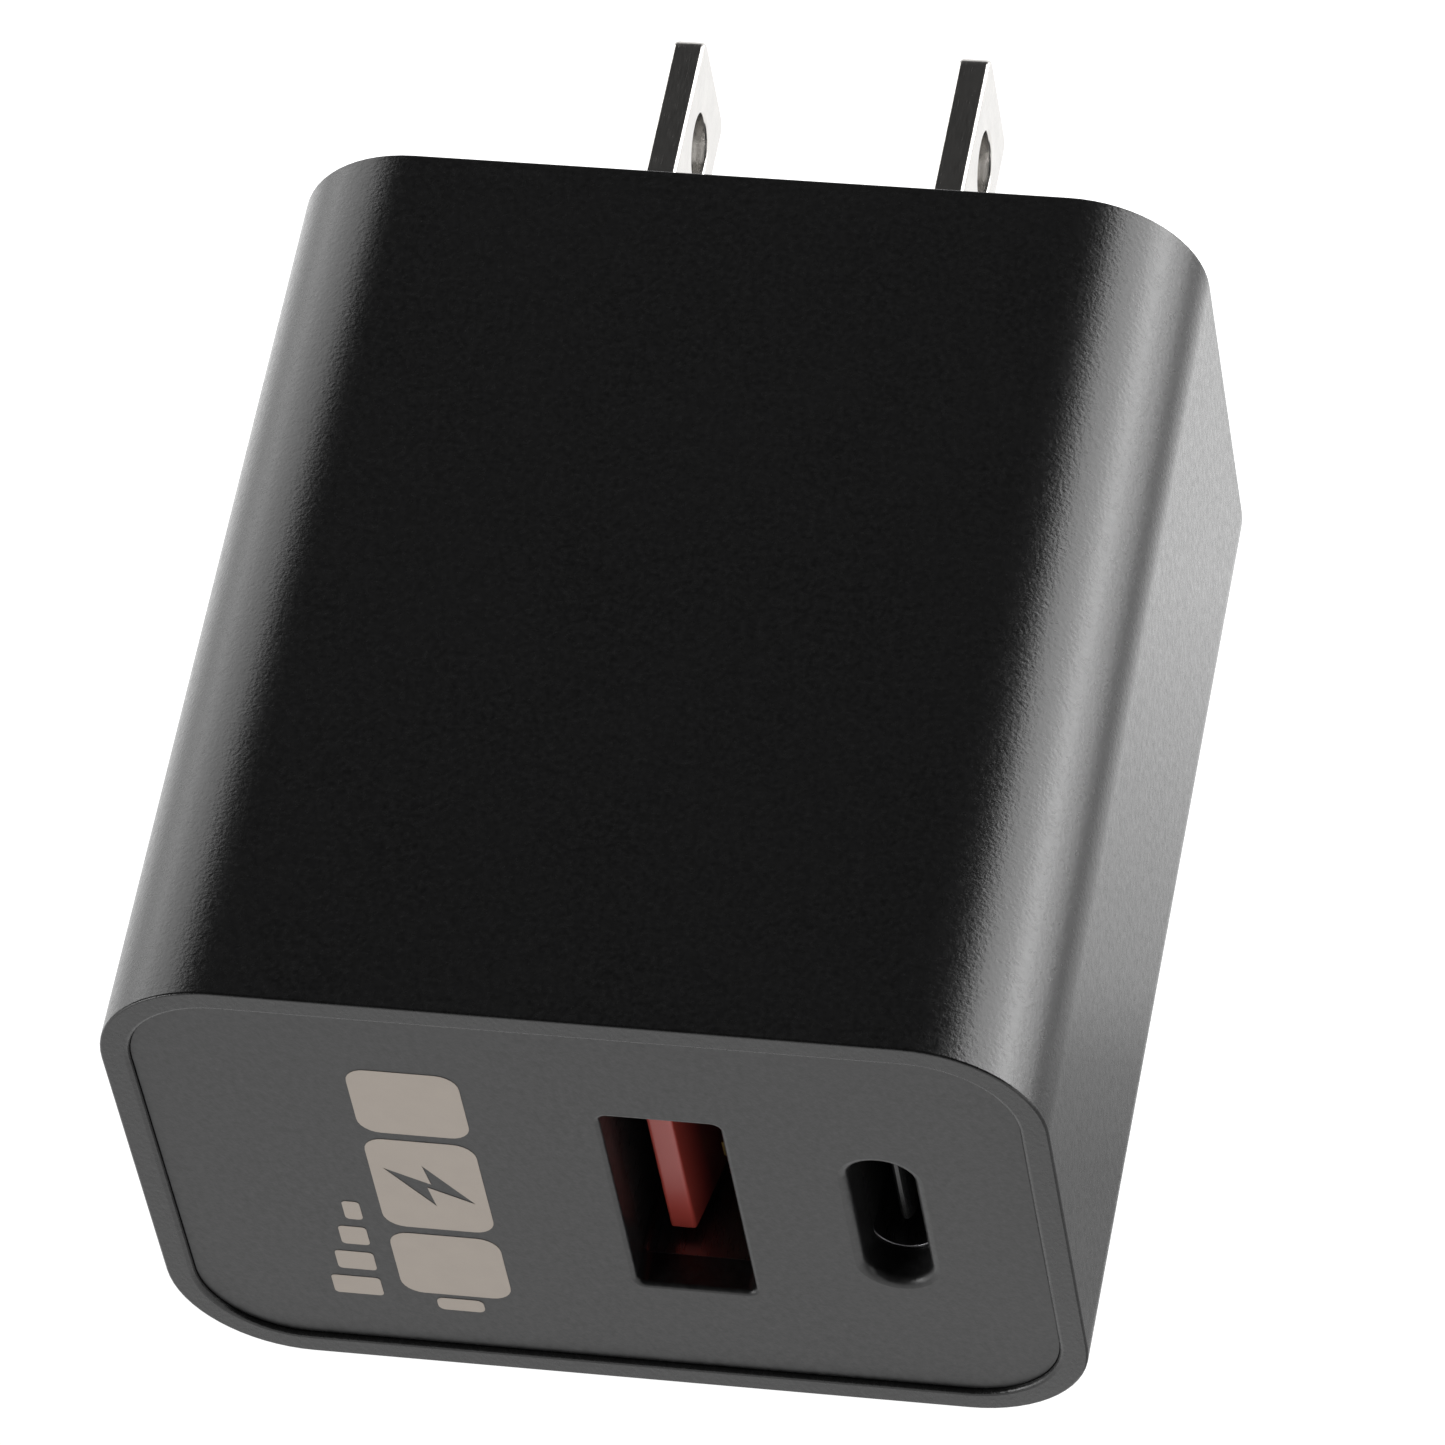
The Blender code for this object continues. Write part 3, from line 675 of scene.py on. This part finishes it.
def shell_tube(outer, radius, wall, centre, lip, steps):
    """Drawn steel shell with a rolled front lip."""

    def ring(inset):
        return rounded(
            outer[0] - 2 * inset, outer[1] - 2 * inset, radius - inset, steps, (centre.x, centre.z)
        )

    pairs = [(SHELL_BACK, 0.0)] + quarter(SHELL_FRONT, 0.0, lip, 1, -1, 4)
    inside = quarter(SHELL_FRONT, wall, lip, -1, -1, 4)
    pairs += [(y, i) for y, i in reversed(inside)] + [(SHELL_BACK, wall)]
    return tube([(y, ring(i)) for y, i in pairs])


def make_usb_a():
    """Steel can, the one-piece tongue and base, and four contacts on the tongue."""
    shell = shell_tube(USB_A_OUTER, USB_A_CORNER, USB_A_WALL, USB_A, USB_A_LIP, 6)
    piece("usb_a_can", shell, STEEL, ["usb_a_shell"])

    left, right = USB_A.x + TONGUE_X[0], USB_A.x + TONGUE_X[1]
    tip, root = TONGUE_LOW.y, BASE_A + 0.5
    nose = [(left + TONGUE_NOSE[0], tip), (right, tip + TONGUE_NOSE[1])]
    corners = [(left, tip), *nose, (right, root), (left, root)]
    half = TONGUE_WIDE / 2
    rise = both_ends(USB_A.z - half, USB_A.z + half, TONGUE_EDGE, 1)
    tongue = panel([(w, convex(corners, i, 0.16, 4)) for w, i in rise], axis="Z")
    at = (USB_A.x, USB_A.z)
    base = [
        (y, rounded(MOUTH_A[0] - trim, MOUTH_A[1] - trim, 0.3, 4, at))
        for y, trim in ((BASE_A, 0.6), (BASE_A + 0.1, 0.4), (TONGUE_HIGH.y, 0.4))
    ]
    piece("usb_a_tongue", union(tongue, panel(base)), RED, ["usb_a_insulator"])

    for index in range(1, 5):
        node = f"usb_a_contact_{index}"
        low, high = span(node)
        piece(f"usb_a_pin_{index}", contact_strip(low, high), GOLD, [node])


def contact_strip(low, high):
    """Sprung contact in side view: flat run, raised contact point, nose turned down."""
    thick = high.x - low.x
    length = high.y - low.y
    run = ((1.0, 0.0), (0.52, 0.0), (0.44, 0.08), (0.38, 0.12), (0.32, 0.08), (0.28, -0.02))
    top = [(low.x + thick + rise * 0.6, low.y + length * share) for share, rise in run]
    bottom = [(x - thick, y) for x, y in reversed(top)]
    return panel([(low.z, top + bottom), (high.z, top + bottom)], axis="Z")


def make_usb_c():
    """Steel can, the one-piece tongue, collar and base, and two rows of contacts."""
    radius = USB_C_OUTER[0] / 2 - 0.01
    shell = shell_tube(USB_C_OUTER, radius, USB_C_WALL, USB_C, USB_C_LIP, 16)
    piece("usb_c_can", shell, STEEL, ["usb_c_shell"])

    low, high = span("usb_c_insulator")
    inner = (USB_C_OUTER[0] - 0.9, USB_C_OUTER[1] - 0.9)
    at = (USB_C.x, USB_C.z)
    base = [
        (y, rounded(inner[0] - 2 * i, inner[1] - 2 * i, inner[0] / 2 - 0.01 - i, 8, at))
        for y, i in ((BASE_C, 0.1), (BASE_C + 0.1, 0.0), (high.y, 0.0))
    ]
    tip = low.y
    pairs = [(tip + y, inset) for y, inset in C_NOSE] + [(BASE_C + 0.5, 0.0)]
    tongue = [(y, rounded(C_THICK - 2 * i, C_WIDE - 2 * i, 0.32 - i, 4, at)) for y, i in pairs]
    collar = [(y, rounded(*C_COLLAR, 0.5, 6, at)) for y in (BASE_C - 0.9, BASE_C + 0.4)]
    moulding = union(panel(base), panel(tongue), panel(collar))
    piece("usb_c_tongue", moulding, BLACK, ["usb_c_insulator"])

    pins = []
    for side in (-1, 1):
        left, right = sorted(USB_C.x + side * x for x in C_PIN_X)
        for index in range(C_PINS):
            z = USB_C.z + (index - (C_PINS - 1) / 2) * C_PITCH
            start = tip + C_PIN_START[index not in C_LONG_PINS]
            end = BASE_C - 1.0
            pins.append(block((left, start, z - C_PIN_HALF), (right, end, z + C_PIN_HALF)))
    piece("usb_c_pins", merged(pins), GOLD)


# ---------------------------------------------------------------- printed mark


def make_mark():
    """Generic charge sign: a battery in three blocks with a bolt cut out, and level bars."""
    levels = (PLATE_FRONT, PLATE_FRONT - INK_THICK)

    def flat(outline, *holes):
        stacks = [[(y, points) for y in levels] for points in (outline, *holes)]
        return panel(stacks[0], stacks[1:])

    parts = [flat(rounded(MARK_WIDE, BLOCK_HIGH, BLOCK_R, 6, (MARK_X, z))) for z in BLOCKS_Z]
    parts.append(flat(rounded(*STUD[:3], 5, (MARK_X, STUD[3]))))
    bolt = [(MARK_X + x, z * BOLT_STRETCH) for x, z in BOLT]
    parts.append(flat(rounded(MARK_WIDE, MIDDLE_HIGH, BLOCK_R, 6, (MARK_X, 0.0)), bolt))
    for index in range(4):
        long = BAR_SHORT + BAR_GROWTH * index
        at = (BARS_X - long / 2, BARS_Z - BARS_STEP * index)
        parts.append(flat(rounded(long, BAR_HIGH, BAR_R, 4, at)))
    piece("charge_mark", merged(parts), INK)


# ---------------------------------------------------------------- inside


def board_look():
    """Solder mask over copper tracks and pads."""
    look = Look("solder_mask")
    tracks = look.node("ShaderNodeTexBrick")
    tracks.inputs["Scale"].default_value = 260.0
    tracks.inputs["Mortar Size"].default_value = 0.05
    look.link(look.place, tracks.inputs["Vector"])
    spots = look.node("ShaderNodeTexVoronoi")
    spots.inputs["Scale"].default_value = 420.0
    look.link(look.place, spots.inputs["Vector"])
    pads = look.ramp(spots.outputs["Distance"], 1.0, 0.0, 0.13, 0.16)
    lines = tracks.outputs["Fac"]
    level = look.ramp(lines, 0.0, 1.0, 0.0, 1.0)
    mask = look.blend(level, (0.012, 0.10, 0.035), (0.03, 0.19, 0.07))
    tone = look.blend(pads, mask, (0.62, 0.6, 0.56))
    rough = look.ramp(pads, 0.28, 0.45, 0.0, 1.0)
    return look.set(tone, rough, look.bump(lines, 0.02, 0.6))


def wound_look(name, colour, gap, axis):
    """Close turns of enamelled wire, as fine bands."""
    look = Look(name)
    wave = look.node("ShaderNodeTexWave", bands_direction=axis)
    wave.inputs["Scale"].default_value = 1.0 / (gap * MM) / math.pi
    wave.inputs["Distortion"].default_value = 0.6
    look.link(look.place, wave.inputs["Vector"])
    tone = look.blend(wave.outputs["Fac"], shade(colour, 0.45), colour)
    return look.set(tone, 0.3, look.bump(wave.outputs["Fac"], 0.05, 0.8), Metallic=0.8)


def ferrite_look():
    look = Look("ferrite")
    grain = look.noise(0.12, 4.0, 0.7)
    tone = look.blend(look.ramp(grain, 0.0, 1.0), (0.03, 0.03, 0.034), (0.09, 0.088, 0.09))
    return look.set(tone, look.ramp(grain, 0.45, 0.65), look.bump(grain, 0.02, 0.6))


def fibre_look():
    look = Look("fibre_sheet")
    threads = look.noise(0.2, 5.0, 0.7, (1.0, 0.25, 1.0))
    tone = look.blend(look.ramp(threads, 0.0, 1.0), (0.62, 0.59, 0.5), (0.78, 0.76, 0.68))
    return look.set(tone, 0.8, look.bump(threads, 0.02, 0.6))


def tape_look():
    """Layers of polyester tape with their overlapping edges."""
    look = Look("winding_tape")
    wave = look.node("ShaderNodeTexWave", bands_direction="Z", wave_profile="SAW")
    wave.inputs["Scale"].default_value = 90.0
    look.link(look.place, wave.inputs["Vector"])
    tone = look.blend(wave.outputs["Fac"], (0.78, 0.5, 0.05), (0.66, 0.38, 0.03))
    return look.set(tone, 0.25, look.bump(wave.outputs["Fac"], 0.03, 0.5))


def dress_inside():
    """Materials for the CAD nodes inside, which keep their CAD shapes."""
    chip = moulded("moulded_black", (0.014, 0.014, 0.015), 0.5, 0.06, 0.006)
    looks = {
        "board": board_look(),
        "sheet_fibre": fibre_look(),
        "package_black": chip,
        "ferrite": ferrite_look(),
        "copper": wound_look("enamelled_copper", (0.78, 0.3, 0.12), 0.35, "Y"),
        "tape_yellow": tape_look(),
        "can_sleeve": moulded("shrink_sleeve", (0.02, 0.03, 0.055), 0.28, 0.3, 0.004),
        "can_aluminium": plated_metal("drawn_aluminium", (0.82, 0.82, 0.83), 0.3, "Y"),
        "fuse_brown": moulded("fuse_brown", (0.12, 0.055, 0.03), 0.42),
        "disc_green": moulded("dipped_green", (0.02, 0.14, 0.08), 0.35, 0.5, 0.02),
        "disc_blue": moulded("dipped_blue", (0.02, 0.13, 0.45), 0.32, 0.5, 0.02),
        "film_yellow": moulded("film_case", (0.66, 0.42, 0.035), 0.4),
        "spring_bronze": plated_metal("phosphor_bronze", (0.72, 0.46, 0.28), 0.3, "Y"),
    }
    for row in frame["record"]["subparts"]:
        look = looks.get(row["material_slot"])
        if look is None:
            continue
        mesh = frame["nodes"][row["node"]].data
        mesh.materials.clear()
        mesh.materials.append(look)


# ---------------------------------------------------------------- stage, light, camera


def stage_sheet(name, low, high, z, material):
    """Flat rectangle of the stage, which isn't part of the object."""
    bm = bmesh.new()
    corners = (low, (high[0], low[1]), high, (low[0], high[1]))
    bm.faces.new([bm.verts.new(Vector((x, y, z)) * MM) for x, y in corners])
    mesh = bpy.data.meshes.new(name)
    bm.to_mesh(mesh)
    bm.free()
    mesh.materials.append(material)
    sheet = bpy.data.objects.new(name, mesh)
    SCENE.collection.objects.link(sheet)
    return sheet


def make_floor():
    """Pale glossy table that glows, most of all behind the object and far out to its right."""
    look = Look("pale_floor")
    split = look.node("ShaderNodeSeparateXYZ")
    look.link(look.place, split.inputs["Vector"])
    back = look.ramp(split.outputs["Y"], 0.0, 1.0, -0.045, 0.015)
    far = look.node("ShaderNodeVectorMath", operation="LENGTH")
    look.link(look.place, far.inputs[0])
    near = look.ramp(far.outputs["Value"], 1.0, 0.0, 0.045, 0.14)
    glow = look.ramp(look.math("MULTIPLY", back, near), *FLOOR_GLOW, 0.0, 1.0)
    left = look.ramp(split.outputs["X"], FLOOR_FADE[0], 1.0, -0.09, -0.05)
    right = look.ramp(split.outputs["X"], 1.0, FLOOR_FADE[1], 0.05, 0.09)
    level = look.math("MULTIPLY", glow, look.math("MULTIPLY", left, right))
    look.link(level, look.shader.inputs["Emission Strength"])
    look.set(
        Base_Color=(0.25, 0.25, 0.25, 1.0),
        Roughness=0.12,
        Specular_IOR_Level=0.2,
        Emission_Color=(1.0, 1.0, 1.0, 1.0),
    )
    side = (FLOOR_SIDE, FLOOR_SIDE)
    stage_sheet("floor", (-side[0], -side[1]), side, FLOOR_Z - FLOOR_GAP, look.material)


def make_shade_card():
    """Dark card that only reflections see: it takes light off the front of the right side."""
    look = Look("soft_edged_black")
    split = look.node("ShaderNodeSeparateXYZ")
    look.link(look.place, split.inputs["Vector"])
    clear = look.node("ShaderNodeBsdfTransparent")
    mix = look.node("ShaderNodeMixShader")
    front = look.curve(split.outputs["Y"], CARD_LOW[1], CARD_HIGH[1], CARD_FRONT)
    strip = look.curve(split.outputs["X"], CARD_LOW[0], CARD_HIGH[0], CARD_STRIP)
    look.link(look.math("MAXIMUM", front, strip), mix.inputs["Fac"])
    look.link(clear.outputs["BSDF"], mix.inputs[1])
    look.link(look.shader.outputs["BSDF"], mix.inputs[2])
    look.link(mix.outputs["Shader"], look.tree.nodes["Material Output"].inputs["Surface"])
    look.set(Base_Color=(0.01, 0.01, 0.01, 1.0), Roughness=1.0, Specular_IOR_Level=0.0)
    card = stage_sheet("shade_card", CARD_LOW, CARD_HIGH, FLOOR_Z + CARD_LIFT, look.material)
    card.visible_camera = False
    card.visible_diffuse = False
    card.visible_shadow = False
    card.visible_transmission = False


def make_world():
    """Pale at the horizon, nearly dark overhead."""
    world = bpy.data.worlds.new("studio")
    SCENE.world = world
    world.use_nodes = True
    tree = world.node_tree
    place = tree.nodes.new("ShaderNodeTexCoord")
    split = tree.nodes.new("ShaderNodeSeparateXYZ")
    ramp = tree.nodes.new("ShaderNodeValToRGB")
    back = tree.nodes["Background"]
    tree.links.new(place.outputs["Generated"], split.inputs["Vector"])
    tree.links.new(split.outputs["Z"], ramp.inputs["Fac"])
    tree.links.new(ramp.outputs["Color"], back.inputs["Color"])
    stops = ramp.color_ramp.elements
    stops[0].position, stops[0].color = 0.0, (1.0, 1.0, 1.0, 1.0)
    stops[1].position, stops[1].color = 1.0, (0.04, 0.04, 0.04, 1.0)
    for height, level in ((0.05, 0.7), (0.14, 0.18), (0.3, 0.06)):
        stop = stops.new(height)
        stop.color = (level, level, level, 1.0)
    back.inputs["Strength"].default_value = 1.0


def softbox(name, azimuth, elevation, distance, size, radiance, aim=Vector((0.0, -21.0, 0.0))):
    """Rectangular soft light that faces the object. Azimuth turns from +X towards +Y."""
    light = bpy.data.lights.new(name, "AREA")
    light.shape = "RECTANGLE"
    light.size, light.size_y = size[0] * MM, size[1] * MM
    light.energy = radiance * math.pi * size[0] * size[1] * MM * MM
    lamp = bpy.data.objects.new(name, light)
    SCENE.collection.objects.link(lamp)
    a, e = math.radians(azimuth), math.radians(elevation)
    away = Vector((math.cos(a) * math.cos(e), math.sin(a) * math.cos(e), math.sin(e)))
    lamp.location = (aim + away * distance) * MM
    lamp.rotation_euler = away.to_track_quat("Z", "Y").to_euler()
    return lamp


def make_lights():
    softbox("soft_right", 40.0, 21.7, 600.0, (500.0, 455.0), 5.6)
    softbox("soft_right_low", 38.0, 8.0, 580.0, (480.0, 180.0), 3.6)
    softbox("soft_left", 145.0, 17.7, 600.0, (420.0, 395.0), 2.5)
    softbox("low_front", 217.0, 11.0, 600.0, (330.0, 170.0), 7.0)


def make_camera():
    """Long lens, from above and right of the ports, rolled clockwise."""
    azimuth, elevation, roll = 19.966, 53.935, -12.09
    aim, distance = Vector((0.89, -18.56, 0.0)), 453.68
    data = bpy.data.cameras.new("camera")
    data.sensor_width = 36.0
    data.lens = 269.1
    data.clip_start, data.clip_end = 0.05, 20.0
    camera = bpy.data.objects.new("camera", data)
    SCENE.collection.objects.link(camera)
    a, e = math.radians(azimuth), math.radians(elevation)
    back = Vector((math.sin(a) * math.cos(e), -math.cos(a) * math.cos(e), math.sin(e)))
    level = (-back).to_track_quat("-Z", "Y").to_matrix()
    turned = level @ Matrix.Rotation(math.radians(roll), 3, "Z")
    camera.matrix_world = Matrix.Translation((aim + back * distance) * MM) @ turned.to_4x4()
    SCENE.camera = camera


make_housing()
make_plate()
make_insert()
make_blade("blade_l", "blade_left", -1)
make_blade("blade_r", "blade_right", 1)
make_usb_a()
make_usb_c()
make_mark()
dress_inside()
make_floor()
make_shade_card()
make_world()
make_lights()
make_camera()
SCENE.view_settings.view_transform = "Standard"
